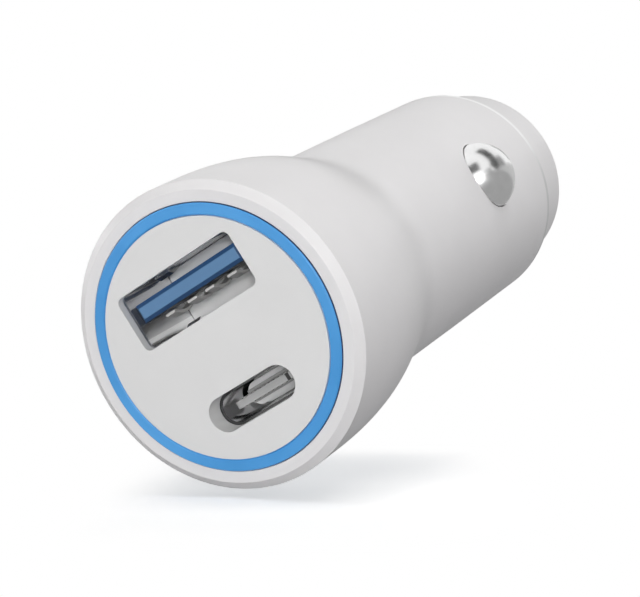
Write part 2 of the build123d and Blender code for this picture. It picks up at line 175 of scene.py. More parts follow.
side_fade = tree.nodes.new("ShaderNodeMapRange")
side_fade.interpolation_type = "SMOOTHSTEP"
side_fade.inputs["From Min"].default_value = side_fade_start
side_fade.inputs["From Max"].default_value = side_fade_end
tree.links.new(offset.outputs[0], side_fade.inputs["Value"])
whiter = tree.nodes.new("ShaderNodeMath")
whiter.operation = "MAXIMUM"
tree.links.new(fade.outputs[0], whiter.inputs[0])
tree.links.new(side_fade.outputs[0], whiter.inputs[1])
clean = tree.nodes.new("ShaderNodeEmission")
clean.inputs["Color"].default_value = (1, 1, 1, 1)
ground = tree.nodes.new("ShaderNodeMixShader")
tree.links.new(whiter.outputs[0], ground.inputs[0])
tree.links.new(sheet.outputs[0], ground.inputs[1])
tree.links.new(clean.outputs[0], ground.inputs[2])
seen = tree.nodes.new("ShaderNodeMixShader")
tree.links.new(seen_directly(tree), seen.inputs[0])
tree.links.new(bounce.outputs[0], seen.inputs[1])
tree.links.new(ground.outputs[0], seen.inputs[2])
side = tree.nodes.new("ShaderNodeNewGeometry")
under = tree.nodes.new("ShaderNodeBsdfTransparent")
blend = tree.nodes.new("ShaderNodeMixShader")
tree.links.new(side.outputs["Backfacing"], blend.inputs[0])
tree.links.new(seen.outputs[0], blend.inputs[1])
tree.links.new(under.outputs[0], blend.inputs[2])
out = tree.nodes.new("ShaderNodeOutputMaterial")
tree.links.new(blend.outputs[0], out.inputs[0])
floor_mesh.materials.append(floor_finish)
print("floor paper", len(tree.nodes), "nodes")

# %% [markdown]
# ## The light all round
# The plug stands in a soft even light, a little stronger from the camera's side, with no hard shadow. A
# plain white world would flatten it, so the world is bright round the horizon and straight below and dark
# in between, which shades the round head and barrel. The camera and mirrors see it plain white.

# %% World
world = bpy.data.worlds.new("studio")
scene.world = world
world.use_nodes = True
tree = world.node_tree
tree.nodes.clear()
place = tree.nodes.new("ShaderNodeTexCoord")
split = tree.nodes.new("ShaderNodeSeparateXYZ")
tree.links.new(place.outputs["Generated"], split.inputs[0])
height = tree.nodes.new("ShaderNodeMapRange")
height.inputs["From Min"].default_value = -1.0
height.inputs["From Max"].default_value = 1.0
tree.links.new(split.outputs["Z"], height.inputs["Value"])
sky = tree.nodes.new("ShaderNodeValToRGB")
sky_greys = (0.9, 0.0, 1.0, 0.0, 0.0)
for level in (0.25, 0.5, 0.75):
    sky.color_ramp.elements.new(level)
for element, grey in zip(sky.color_ramp.elements, sky_greys):
    element.color = (grey, grey, grey, 1)
tree.links.new(height.outputs[0], sky.inputs[0])
lit = tree.nodes.new("ShaderNodeBackground")
tree.links.new(sky.outputs[0], lit.inputs["Color"])
white = tree.nodes.new("ShaderNodeBackground")
white.inputs["Color"].default_value = (1, 1, 1, 1)
blend = tree.nodes.new("ShaderNodeMixShader")
tree.links.new(seen_directly(tree), blend.inputs[0])
tree.links.new(lit.outputs[0], blend.inputs[1])
tree.links.new(white.outputs[0], blend.inputs[2])
out = tree.nodes.new("ShaderNodeOutputWorld")
tree.links.new(blend.outputs[0], out.inputs[0])
print("world greys from straight below to straight above", sky_greys)

# %% [markdown]
# ## The lamps
# Six lamps add to the world: a small one by the camera that reaches into the two ports, a wide one before
# the face, and weaker ones on the right, on the left, behind and far to the left, where the lamp lights
# mostly what the photograph hides. Sun lamps would cut hard shadows, so these are all square area lamps.
# Four of them are kept out of reflections, where they would burn out on the gloss.

# %% Lamps
def hang_lamp(name, place, size, watts):
    """A square lamp aimed at the plug."""
    data = bpy.data.lights.new(name, "AREA")
    data.size = size
    data.energy = watts
    lamp = bpy.data.objects.new(name, data)
    scene.collection.objects.link(lamp)
    lamp.location = place
    lamp.rotation_euler = Vector(place).to_track_quat("Z", "Y").to_euler()
    return lamp


for name, place, size, watts, mirrored in (
        ("front_lamp", (0.32, -0.53, 0.0), 0.1, 2.2, True),
        ("face_lamp", (-0.15, -0.6, 0.2), 0.4, 3.5, False),
        ("right_lamp", (0.45, 0.15, 0.4), 0.4, 1.6, False),
        ("left_lamp", (-0.5, 0.1, 0.25), 0.4, 1.3, True),
        ("back_lamp", (0.1, 0.6, 0.35), 0.4, 0.5, False),
        ("far_lamp", (-0.42, 0.42, 0.06), 0.3, 2.5, False)):
    lamp = hang_lamp(name, place, size, watts)
    lamp.visible_glossy = mirrored

# %% [markdown]
# ## Cards for the chrome
# Polished chrome in an all-white room looks like white plastic. A product photographer stands dark and grey
# cards round it, so that it has something to mirror. Each card here has a bearing from the plug and a
# height, both in degrees, and it faces the plug. Both chrome buttons get the same set: a black card, a long
# dark one that leans, a wide grey one behind them, a grey one beside them and a dark one towards the
# camera. One more stands far behind the plug, where only the steep part of the neck mirrors it, and draws
# the soft dark band that the photograph shows there. Two grey sheets lie under the plug. The cards show in
# reflections only and cast no shadow.

# %% Cards
def stand_card(name, place, width, tall, lean, grey, aim=None):
    """A card that faces the plug, or lies square to aim, and leans in its own plane."""
    bm = bmesh.new()
    bmesh.ops.create_grid(bm, x_segments=1, y_segments=1, size=0.5)
    bmesh.ops.scale(bm, verts=bm.verts, vec=(width, tall, 1))
    in_plane = Matrix.Rotation(math.radians(lean), 3, "Z")
    bmesh.ops.rotate(bm, verts=bm.verts, cent=(0, 0, 0), matrix=in_plane)
    face_plug = Vector(aim or place).to_track_quat("Z", "Y").to_matrix().to_4x4()
    bmesh.ops.transform(bm, verts=bm.verts, matrix=Matrix.Translation(place) @ face_plug)
    mesh = bpy.data.meshes.new(name)
    bm.to_mesh(mesh)
    bm.free()
    finish = bpy.data.materials.new(name)
    finish.use_nodes = True
    finish.node_tree.nodes.clear()
    glow = finish.node_tree.nodes.new("ShaderNodeEmission")
    glow.inputs["Color"].default_value = (grey, grey, grey, 1)
    out = finish.node_tree.nodes.new("ShaderNodeOutputMaterial")
    finish.node_tree.links.new(glow.outputs[0], out.inputs[0])
    mesh.materials.append(finish)
    card = bpy.data.objects.new(name, mesh)
    scene.collection.objects.link(card)
    card.visible_camera = False
    card.visible_diffuse = False
    card.visible_transmission = False
    card.visible_shadow = False


def bearing(turn_deg, height_deg, reach):
    """A place at a bearing from +X towards +Y and a height over the level plane."""
    turn = math.radians(turn_deg)
    rise = math.radians(height_deg)
    level = math.cos(rise)
    return Vector((level * math.cos(turn), level * math.sin(turn), math.sin(rise))) * reach


for side, sign in (("right", 1), ("left", -1)):
    for name, turn_deg, height_deg, reach, width, tall, lean, grey in (
            ("black_card", 10, 11, 0.5, 0.21, 0.2, 20, 0.02),
            ("long_card", 28, 37, 0.55, 0.24, 0.5, -35, 0.08),
            ("wide_card", 28, 4, 0.7, 0.62, 0.4, 0, 0.3),
            ("grey_card", -22, 1, 0.65, 0.3, 0.26, 0, 0.42),
            ("near_card", -58, 38, 0.6, 0.4, 0.32, 0, 0.1)):
        spot = bearing(turn_deg, height_deg, reach)
        spot.x *= sign
        stand_card(name + "_" + side, spot, width, tall, sign * lean, grey)
stand_card("neck_card", bearing(107, 8, 0.6), 0.36, 0.15, 0, 0.03)
stand_card("low_card", (0, -0.22, -0.02), 1.0, 0.56, 0, 0.37, (0, 0, -1))
stand_card("low_card_back", (0, 0.31, -0.02), 1.0, 0.5, 0, 0.56, (0, 0, -1))

# %% [markdown]
# ## How a finish is made
# Each finish is one Principled shader, with the values that are the same all over on its own sockets. No
# real surface is even, so noise on the piece's own coordinates shifts the colour and the roughness a little
# and lifts the surface. Pictures could do that too, but noise has no seams and needs no unwrapping. Only
# the middle of the noise is used, where most of its values lie.

# %% Tools for the finishes
noise_low = 0.3
noise_high = 0.7


def new_finish(name, colour, roughness, metallic=0.0):
    """A material with one Principled shader, its even values on the shader's own sockets."""
    finish = bpy.data.materials.new(name)
    finish.use_nodes = True
    shader = finish.node_tree.nodes["Principled BSDF"]
    shader.inputs["Base Color"].default_value = (*colour, 1)
    shader.inputs["Roughness"].default_value = roughness
    shader.inputs["Metallic"].default_value = metallic
    return finish, finish.node_tree, shader


def grain(tree, size_mm, stretch=(1, 1, 1), detail=3.0):
    """Noise on Object coordinates whose bumps are about size_mm across."""
    place = tree.nodes.new("ShaderNodeTexCoord")
    aim = tree.nodes.new("ShaderNodeMapping")
    aim.inputs["Scale"].default_value = stretch
    tree.links.new(place.outputs["Object"], aim.inputs["Vector"])
    noise = tree.nodes.new("ShaderNodeTexNoise")
    noise.inputs["Scale"].default_value = 1000.0 / size_mm
    noise.inputs["Detail"].default_value = detail
    tree.links.new(aim.outputs["Vector"], noise.inputs["Vector"])
    return noise.outputs["Fac"]


def stir(tree, value, socket, low, high):
    """Drives a shader socket between two numbers with a noise."""
    span = tree.nodes.new("ShaderNodeMapRange")
    span.inputs["From Min"].default_value = noise_low
    span.inputs["From Max"].default_value = noise_high
    span.inputs["To Min"].default_value = low
    span.inputs["To Max"].default_value = high
    tree.links.new(value, span.inputs["Value"])
    tree.links.new(span.outputs[0], socket)


def tint(tree, value, socket, dark, light):
    """Drives a colour socket between two colours with a noise or another value from 0 to 1."""
    ramp = tree.nodes.new("ShaderNodeValToRGB")
    ramp.color_ramp.elements[0].position = noise_low
    ramp.color_ramp.elements[1].position = noise_high
    ramp.color_ramp.elements[0].color = (*dark, 1)
    ramp.color_ramp.elements[1].color = (*light, 1)
    tree.links.new(value, ramp.inputs[0])
    tree.links.new(ramp.outputs[0], socket)


def lift(tree, value, shader, height_mm, edge_mm=0.0):
    """Bumps the surface by a noise, over edges that are rounded in the shading."""
    bump = tree.nodes.new("ShaderNodeBump")
    bump.inputs["Strength"].default_value = 0.6
    bump.inputs["Distance"].default_value = height_mm / 1000.0
    tree.links.new(value, bump.inputs["Height"])
    tree.links.new(bump.outputs[0], shader.inputs["Normal"])
    if edge_mm:
        soft = tree.nodes.new("ShaderNodeBevel")
        soft.samples = 8
        soft.inputs["Radius"].default_value = edge_mm / 1000.0
        tree.links.new(soft.outputs[0], bump.inputs["Normal"])


def dress(finish, *names):
    """Puts a finish on CAD nodes."""
    for name in names:
        nodes[name].material_slots[0].material = finish
    print(finish.name, "on", ", ".join(names))


print("the finishes use noise from", noise_low, "to", noise_high)

# %% [markdown]
# ## White plastic
# The housing and the nose cap are moulded in white plastic with a fine satin grain. A flat white would look
# like paper, so the base is a shade under white, a fine noise lifts the surface and stirs its roughness,
# and sharp edges are rounded in the shading. Where the housing meets the nose cap the parting line catches
# the light on top and is dark below, so a narrow band there is painted: a painted highlight on top that
# turns to painted shade below, with the height.

# %% White plastic
seam_inset = 0.00045
seam_half_width = 0.00024
seam_low_z = -0.00715
seam_high_z = 0.00535
barrel_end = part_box("housing")[1][1]
white_plastic, tree, shader = new_finish("white_plastic", (0.8, 0.786, 0.79), 0.33)
shader.inputs["Specular IOR Level"].default_value = 0.4
fine = grain(tree, 0.12)
stir(tree, fine, shader.inputs["Roughness"], 0.3, 0.36)
lift(tree, fine, shader, 0.003, 0.08)
place = tree.nodes.new("ShaderNodeTexCoord")
split = tree.nodes.new("ShaderNodeSeparateXYZ")
tree.links.new(place.outputs["Object"], split.inputs[0])
# Painted highlight and painted shade: a narrow band at the parting line, light on top and dark below.
edge_band = tree.nodes.new("ShaderNodeMath")
edge_band.operation = "COMPARE"
edge_band.inputs[1].default_value = barrel_end - seam_inset
edge_band.inputs[2].default_value = seam_half_width
tree.links.new(split.outputs["Y"], edge_band.inputs[0])
seam_light_height = tree.nodes.new("ShaderNodeMapRange")
seam_light_height.inputs["From Min"].default_value = seam_low_z
seam_light_height.inputs["From Max"].default_value = seam_high_z
tree.links.new(split.outputs["Z"], seam_light_height.inputs["Value"])
seam_painted_light = tree.nodes.new("ShaderNodeMix")
seam_painted_light.data_type = "RGBA"
tree.links.new(edge_band.outputs[0], seam_painted_light.inputs["Factor"])
tint(tree, grain(tree, 6.0), seam_painted_light.inputs["A"], (0.785, 0.773, 0.777), (0.81, 0.798, 0.802))
tint(tree, seam_light_height.outputs[0], seam_painted_light.inputs["B"], (0.62, 0.62, 0.62), (0.95, 0.95, 0.95))
tree.links.new(seam_painted_light.outputs["Result"], shader.inputs["Base Color"])
dress(white_plastic, "housing", "nose_cap")

# %% [markdown]
# ## Housing
# The real housing is one moulding whose wide head runs into the barrel in one long soft curve. The CAD
# housing has the same head and barrel, but its neck is shorter and steeper. Here the wall is drawn again as
# one closed outline, with the photograph's neck and all else as in the CAD, and spun once round the plug's
# axis. The neck's points come from a curve with four control points. A lattice over the CAD mesh could bend
# the neck too, but it would pull the inside along. The values here and in the next step are in millimetres.

# %% Housing wall
mm = 0.001
spin_steps = 240
head_radius = 12.93
rim_radius = 12.2
ring_seat_radius = 11.25
barrel_radius = 10.5
barrel_end_radius = 10.44
end_edge_radius = 10.24
head_bore_radius = 10.5
barrel_bore_radius = 9.0
rim_y = -18.4
rim_edge_y = -17.8
ring_seat_y = -15.8
neck_start_y = -14
head_bore_end_y = -6.0
head_pull_y = -4
barrel_pull_y = -2
barrel_bore_start_y = -1.2
neck_end_y = 2.5
taper_start_y = 15.2
end_edge_y = 31.0
end_y = 31.2
neck_points = 48


def solid(name, bm):
    """Turns a closed bmesh into an object."""
    bmesh.ops.recalc_face_normals(bm, faces=bm.faces)
    mesh = bpy.data.meshes.new(name)
    bm.to_mesh(mesh)
    bm.free()
    piece = bpy.data.objects.new(name, mesh)
    scene.collection.objects.link(piece)
    return piece


def spun(name, outline):
    """A closed outline of radius and Y in mm, spun once round the plug's axis."""
    bm = bmesh.new()
    corners = [bm.verts.new((radius * mm, y * mm, 0)) for radius, y in outline]
    edges = [bm.edges.new(pair) for pair in zip(corners, corners[1:] + corners[:1])]
    bmesh.ops.spin(bm, geom=corners + edges, cent=(0, 0, 0), axis=(0, 1, 0), angle=2 * math.pi,
                   steps=spin_steps, use_merge=True)
    return solid(name, bm)


neck = interpolate_bezier((head_radius, neck_start_y, 0), (head_radius, head_pull_y, 0),
                          (barrel_radius, barrel_pull_y, 0), (barrel_radius, neck_end_y, 0), neck_points)
outside = [(ring_seat_radius, rim_y), (rim_radius, rim_y), (head_radius, rim_edge_y)]
outside += [(point.x, point.y) for point in neck]
outside += [(barrel_radius, taper_start_y), (barrel_end_radius, end_edge_y), (end_edge_radius, end_y)]
inside = [(barrel_bore_radius, end_y), (barrel_bore_radius, barrel_bore_start_y)]
inside += [(head_bore_radius, head_bore_end_y), (head_bore_radius, ring_seat_y)]
inside += [(ring_seat_radius, ring_seat_y)]
moulding = spun("housing_moulding", outside + inside)
print("wall", len(moulding.data.polygons), "faces from", len(outside + inside), "points of the outline")

# %% [markdown]
# ## Bosses, rails and button holes
# Inside the barrel two flat bosses stop the flanges of the buttons and four rails hold the board. The CAD
# housing has them too. They are plain pins and blocks that the Boolean modifier joins to the wall, once the
# bosses are trimmed to end inside it. The two holes for the buttons are cut last, through wall and bosses
# alike. That leaves a few slivers, so points that all but touch are merged.

# %% Bosses, rails and button holes
pin_segments = 128
button_y = 19.45
button_hole_radius = 3.33
button_hole_span = (6.0, 12.0)
boss_radius = 4.48
boss_span = (7.75, 9.9)
mid_wall_radius = 9.75
mid_wall_end_y = 30
near_axis = 0.001
rail_size = (2.285, 11.07, 1.1)
rail_x = 8.608
rail_y = 7.035
rail_levels = (-0.1, 2.2)
weld_gap = 0.002
sharp_angle = math.radians(25)


def side_pins(name, radius, span):
    """Two round pins across the barrel at the buttons, over a span along X."""
    start, end = span
    along_x = Matrix.Rotation(math.pi / 2, 4, "Y")
    bm = bmesh.new()
    for side in (1, -1):
        lay = Matrix.Translation((side * (start + end) / 2 * mm, button_y * mm, 0)) @ along_x
        bmesh.ops.create_cone(bm, cap_ends=True, segments=pin_segments, radius1=radius * mm,
                              radius2=radius * mm, depth=(end - start) * mm, matrix=lay)
    return solid(name, bm)


def combine(piece, tool, operation):
    """Joins, trims or cuts a piece with a tool, which is used up."""
    step = piece.modifiers.new(operation, "BOOLEAN")
    step.operation = operation
    step.object = tool
    made = piece.evaluated_get(bpy.context.evaluated_depsgraph_get())
    piece.data = bpy.data.meshes.new_from_object(made)
    piece.modifiers.clear()
    bpy.data.objects.remove(tool)


bosses = side_pins("bosses", boss_radius, boss_span)
mid_wall = [(near_axis, 0), (mid_wall_radius, 0)]
mid_wall += [(mid_wall_radius, mid_wall_end_y), (near_axis, mid_wall_end_y)]
combine(bosses, spun("mid_wall", mid_wall), "INTERSECT")
combine(moulding, bosses, "UNION")
bm = bmesh.new()
rail_shape = Matrix.Diagonal((*(side * mm for side in rail_size), 1))
for x in (-rail_x, rail_x):
    for z in rail_levels:
        lay = Matrix.Translation((x * mm, rail_y * mm, z * mm)) @ rail_shape
        bmesh.ops.create_cube(bm, size=1.0, matrix=lay)
combine(moulding, solid("rails", bm), "UNION")
combine(moulding, side_pins("button_holes", button_hole_radius, button_hole_span), "DIFFERENCE")
bm = bmesh.new()
bm.from_mesh(moulding.data)
bmesh.ops.remove_doubles(bm, verts=bm.verts, dist=weld_gap * mm)
bmesh.ops.dissolve_degenerate(bm, edges=bm.edges, dist=weld_gap * mm)
bm.to_mesh(moulding.data)
bm.free()
moulding.data.shade_smooth()
moulding.data.set_sharp_from_angle(angle=sharp_angle)
moulding.data.materials.clear()
moulding.data.materials.append(white_plastic)
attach(moulding, "plug")
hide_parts("housing")

# %% [markdown]
# ## Face plate
# The face is a separate moulding, a touch greyer and flatter than the housing. One white for both would be
# simpler, but then the face would look cut from the housing. So it gets the same kind of grain with less
# shine.

# %% Face plate
face_plastic, tree, shader = new_finish("face_plastic", (0.758, 0.756, 0.753), 0.55)
fine = grain(tree, 0.15)
tint(tree, grain(tree, 5.0), shader.inputs["Base Color"], (0.748, 0.746, 0.743), (0.768, 0.766, 0.763))
stir(tree, fine, shader.inputs["Roughness"], 0.5, 0.6)
lift(tree, fine, shader, 0.003, 0.08)
dress(face_plastic, "face_plate")

# %% [markdown]
# ## Light ring
# A ring of blue plastic carries the light of two small lamps round the face. It is shiny on top and looks
# evenly lit, so part of its colour comes from a weak glow. Its outer wall stands a little proud of the rim
# and lies in shade as a thin dark line, so past that radius the colour is painted shade, a dark navy.

# %% Light ring
ring_wall_radius = 0.01117
ring_plastic, tree, shader = new_finish("ring_plastic", (0.06, 0.25, 0.56), 0.35)
shader.inputs["Emission Color"].default_value = (0.05, 0.26, 0.58, 1)
shader.inputs["Emission Strength"].default_value = 0.35
place = tree.nodes.new("ShaderNodeTexCoord")
from_axis = tree.nodes.new("ShaderNodeVectorMath")
from_axis.operation = "MULTIPLY"
from_axis.inputs[1].default_value = (1, 0, 1)
tree.links.new(place.outputs["Object"], from_axis.inputs[0])
reach = tree.nodes.new("ShaderNodeVectorMath")
reach.operation = "LENGTH"
tree.links.new(from_axis.outputs[0], reach.inputs[0])
# Painted shade: past the outer wall's radius the ring's colour and glow are a dark navy.
on_shaded_wall = tree.nodes.new("ShaderNodeMath")
on_shaded_wall.operation = "GREATER_THAN"
on_shaded_wall.inputs[1].default_value = ring_wall_radius
tree.links.new(reach.outputs["Value"], on_shaded_wall.inputs[0])
ring_colour_and_wall_shade = tree.nodes.new("ShaderNodeMix")
ring_colour_and_wall_shade.data_type = "RGBA"
ring_colour_and_wall_shade.inputs["B"].default_value = (0.008, 0.03, 0.1, 1)
tree.links.new(on_shaded_wall.outputs[0], ring_colour_and_wall_shade.inputs["Factor"])
tint(tree, grain(tree, 9.0), ring_colour_and_wall_shade.inputs["A"], (0.035, 0.2, 0.46), (0.065, 0.27, 0.57))
tree.links.new(ring_colour_and_wall_shade.outputs["Result"], shader.inputs["Base Color"])
tree.links.new(ring_colour_and_wall_shade.outputs["Result"], shader.inputs["Emission Color"])
stir(tree, grain(tree, 0.3), shader.inputs["Roughness"], 0.3, 0.4)
lift(tree, grain(tree, 0.3), shader, 0.002, 0.06)
dress(ring_plastic, "light_ring")

# %% [markdown]
# ## Large port's tongue
# The tongue of the large port is blue plastic and the block behind it is pale. Both are one piece, so the
# colour changes at the depth where the tongue leaves the block. Behind its front face the tongue's sides
# are painted a darker blue as painted shade, and its underside, which the strips work against, is painted
# black as the shade over the strips. Two materials could do that too, but the CAD piece has one slot, so
# the colour steps at a level along an axis. A level lies a hair off the face that it colours.

# %% Large port's tongue
skin = 0.00004
tongue_length = 0.00745
tongue_under = 0.0041


def colour_step(tree, axis, level, near, far):
    """Changes between two colours, plain ones or node outputs, at a level along an axis of the piece."""
    place = tree.nodes.new("ShaderNodeTexCoord")
    split = tree.nodes.new("ShaderNodeSeparateXYZ")
    tree.links.new(place.outputs["Object"], split.inputs[0])
    past = tree.nodes.new("ShaderNodeMath")
    past.operation = "GREATER_THAN"
    past.inputs[1].default_value = level
    tree.links.new(split.outputs[axis], past.inputs[0])
    pick = tree.nodes.new("ShaderNodeMix")
    pick.data_type = "RGBA"
    tree.links.new(past.outputs[0], pick.inputs["Factor"])
    for colour, socket in ((near, pick.inputs["A"]), (far, pick.inputs["B"])):
        if isinstance(colour, bpy.types.NodeSocket):
            tree.links.new(colour, socket)
        else:
            socket.default_value = (*colour, 1)
    return pick.outputs["Result"]


def speckle(tree, colour, value, grey, socket):
    """Drives a colour socket with a colour that a noise darkens down to a grey."""
    spotted = tree.nodes.new("ShaderNodeMix")
    spotted.data_type = "RGBA"
    spotted.blend_type = "MULTIPLY"
    spotted.inputs["Factor"].default_value = 1.0
    tree.links.new(colour, spotted.inputs["A"])
    tint(tree, value, spotted.inputs["B"], (grey, grey, grey), (1, 1, 1))
    tree.links.new(spotted.outputs["Result"], socket)


tongue_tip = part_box("usb_a_insulator")[0][1]
block_front = tongue_tip + tongue_length
blue_plastic, tree, shader = new_finish("blue_plastic", (0.1, 0.22, 0.4), 0.4)
# Painted shade: behind its front face the tongue's sides and bevels are a darker blue.
tongue_with_side_shade = colour_step(tree, "Y", tongue_tip + skin, (0.11, 0.235, 0.42), (0.028, 0.085, 0.21))
# Painted shade: below the underside's level the tongue is black, the shade over the strips.
tongue = colour_step(tree, "Z", tongue_under + skin / 8, (0.006, 0.007, 0.01), tongue_with_side_shade)
tongue_and_block = colour_step(tree, "Y", block_front - skin / 2, tongue, (0.92, 0.92, 0.92))
fine = grain(tree, 0.15)
speckle(tree, tongue_and_block, grain(tree, 2.0), 0.95, shader.inputs["Base Color"])
stir(tree, fine, shader.inputs["Roughness"], 0.38, 0.48)
lift(tree, fine, shader, 0.002, 0.05)
dress(blue_plastic, "usb_a_insulator")

# %% [markdown]
# ## Small port's tongue
# The small port's tongue is a thin grey blade before a pale block. The photograph shows a dark notch in its
# front edge, near one end. It could be cut, but it is so small that a short black band, painted shade that
# stands for the notch, does as well.

# %% Small port's tongue
blade_length = 0.0036
blade_grey = (0.42, 0.42, 0.42)
notch_start = 0.0024
notch_end = 0.00276
grey_plastic, tree, shader = new_finish("grey_plastic", blade_grey, 0.4)
fine = grain(tree, 0.12)
blade_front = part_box("usb_c_insulator")[0][1]
small_block_front = blade_front + blade_length
# Painted shade: a black band on the blade's front edge stands for the notch.
notch_painted_shade = colour_step(tree, "X", notch_end, (0.02, 0.02, 0.02), blade_grey)
blade_edge = colour_step(tree, "X", notch_start, blade_grey, notch_painted_shade)
blade = colour_step(tree, "Y", blade_front + skin, blade_edge, blade_grey)
blade_and_block = colour_step(tree, "Y", small_block_front - skin / 2, blade, (0.85, 0.85, 0.85))
speckle(tree, blade_and_block, grain(tree, 1.5), 0.95, shader.inputs["Base Color"])
stir(tree, fine, shader.inputs["Roughness"], 0.36, 0.46)
lift(tree, fine, shader, 0.002, 0.04)
dress(grey_plastic, "usb_c_insulator")

# %% [markdown]
# ## Large port's shell
# The shells are bent from plated sheet, satin on the large port and bright on the small one. Rolling leaves
# faint streaks along the sheet, so the noise is stretched along the port. An anisotropic shader could
# streak the reflections too, but so small a piece doesn't need it. The lower wall, where the light falls
# into the port, is painted brighter than the upper one as painted light.

# %% Large port's shell
shell_steel, tree, shader = new_finish("shell_steel", (0.68, 0.68, 0.69), 0.17, 0.85)
streaks = grain(tree, 0.5, (1, 0.1, 1), 1.0)
strip_low, strip_high = (Vector(corner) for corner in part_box("usb_a_contacts"))
port_middle = (strip_high[2] + strip_low[2]) / 2
# Painted light: below the port's middle the sheet is a lighter grey.
sheet_painted_light = colour_step(tree, "Z", port_middle, (0.94, 0.94, 0.94), (0.68, 0.68, 0.69))
speckle(tree, sheet_painted_light, streaks, 0.95, shader.inputs["Base Color"])
stir(tree, streaks, shader.inputs["Roughness"], 0.14, 0.2)
lift(tree, streaks, shader, 0.0004)
dress(shell_steel, "usb_a_shell")

# %% [markdown]
# ## Small port's shell
# The small shell is bright inside. Its cut front edge is bare and dark. A gap over the tongue, where the
# block ends short of the shell, lies in shade, so there the shell is painted black as painted shade. Both
# are steps in the colour.

# %% Small port's shell
plating = (0.8, 0.8, 0.81)
gap_depth = 0.00055
gap_over_middle = 0.0003
bright_steel, tree, shader = new_finish("bright_steel", plating, 0.1, 1.0)
streaks = grain(tree, 0.6, (1, 0.08, 1), 1.0)
shell_low, shell_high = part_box("usb_c_shell")
small_port_middle = (shell_low[2] + shell_high[2]) / 2
# Painted shade: deep in the port and over its middle the shell is black, where the gap lies.
gap_painted_shade = colour_step(tree, "Z", small_port_middle + gap_over_middle, plating, (0.004, 0.004, 0.004))
wall = colour_step(tree, "Y", small_block_front - gap_depth, plating, gap_painted_shade)
plated = colour_step(tree, "Y", shell_low[1] + skin / 2, (0.14, 0.14, 0.14), wall)
speckle(tree, plated, streaks, 0.94, shader.inputs["Base Color"])
stir(tree, streaks, shader.inputs["Roughness"], 0.13, 0.19)
lift(tree, streaks, shader, 0.0003)
dress(bright_steel, "usb_c_shell")

# %% [markdown]
# ## Contact metal
# The contacts of both ports and the pins between the boards are plated and dull. As full metal they would
# mirror the dark port and vanish, so the shader is only part metal.

# %% Contact metal
contact_metal, tree, shader = new_finish("contact_metal", (0.62, 0.61, 0.6), 0.42, 0.2)
streaks = grain(tree, 0.1, (1, 0.1, 1))
tint(tree, streaks, shader.inputs["Base Color"], (0.6, 0.59, 0.58), (0.64, 0.63, 0.62))
stir(tree, streaks, shader.inputs["Roughness"], 0.38, 0.46)
lift(tree, streaks, shader, 0.0005, 0.04)
dress(contact_metal, "usb_c_contacts", "header_pins")

# %% [markdown]
# ## Contact strips of the large port
# Four sprung strips lie under the blue tongue. Each is stamped from thin sheet and bent: up from the board,
# along the tongue, and down in a bow that presses on the plug that is put in, with a free end that turns up
# in front. The CAD strip has sharp bends and a front end that reaches the tongue. Here one edge is extruded
# along the bends, the bends are rounded with the bevel operator, and solidify gives the sheet its
# thickness.

# %% Contact strips
strip_sheet = 0.00022
strip_half_width = 0.0005
strip_places = (-0.0035, -0.001, 0.001, 0.0035)
bend_radii = (0.0004, 0.0008, 0.0009)
bow_start_y = -0.0121
bow_y = -0.01525
bow_over_tail = 0.0014
free_end_inset = 0.0003
free_end_rise = 0.00055


def bend_strip(bm, x, half_width, path, radii):
    """One strip along a path of Y and Z points, with a radius at each bend."""
    ends = [bm.verts.new((x + side * half_width, *path[0])) for side in (-1, 1)]
    edge = bm.edges.new(ends)
    bends = []
    for here, there in zip(path, path[1:]):
        made = bmesh.ops.extrude_edge_only(bm, edges=[edge])["geom"]
        step = (0, there[0] - here[0], there[1] - here[1])
        moved = [part for part in made if isinstance(part, bmesh.types.BMVert)]
        bmesh.ops.translate(bm, verts=moved, vec=step)
        edge = next(part for part in made if isinstance(part, bmesh.types.BMEdge))
        bends.append(edge)
    for bend, radius in zip(bends, radii):
        bmesh.ops.bevel(bm, geom=[bend], offset=radius, offset_type="OFFSET", affect="EDGES", segments=8,
                        profile=0.5, material=-1)


run_z = tongue_under - strip_sheet / 2
bow_z = strip_low[2] + bow_over_tail + strip_sheet / 2
tail_y = strip_high[1] - strip_sheet / 2
free_end = (strip_low[1] + free_end_inset, bow_z + free_end_rise)
path = [(tail_y, strip_low[2]), (tail_y, run_z), (bow_start_y, run_z), (bow_y, bow_z), free_end]
bm = bmesh.new()
for x in strip_places:
    bend_strip(bm, x, strip_half_width, path, bend_radii)
bmesh.ops.recalc_face_normals(bm, faces=bm.faces)
bmesh.ops.solidify(bm, geom=list(bm.faces), thickness=strip_sheet)
bmesh.ops.recalc_face_normals(bm, faces=bm.faces)
strip_mesh = bpy.data.meshes.new("contact_strips")
bm.to_mesh(strip_mesh)
bm.free()
strip_mesh.materials.append(contact_metal)
strips = bpy.data.objects.new("contact_strips", strip_mesh)
scene.collection.objects.link(strips)
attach(strips, "plug")
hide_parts("usb_a_contacts")
print("strips", len(strip_mesh.polygons), "faces, box in mm",
      [in_mm(corner) for corner in (strips.bound_box[0], strips.bound_box[6])],
      "CAD", [in_mm(corner) for corner in (strip_low, strip_high)])

# %% [markdown]
# ## Chrome
# The two side buttons and the tip are plated and polished. Chrome is all reflection, so its colour stays
# light and its roughness low, with a faint unevenness that keeps the reflections from looking drawn with a
# ruler.

# %% Chrome
chrome, tree, shader = new_finish("chrome", (0.87, 0.87, 0.87), 0.24, 1.0)
fine = grain(tree, 0.8)
tint(tree, fine, shader.inputs["Base Color"], (0.85, 0.85, 0.85), (0.89, 0.89, 0.89))
stir(tree, fine, shader.inputs["Roughness"], 0.21, 0.27)
lift(tree, fine, shader, 0.002)
dress(chrome, "ground_contact_right", "ground_contact_left", "tip_contact")

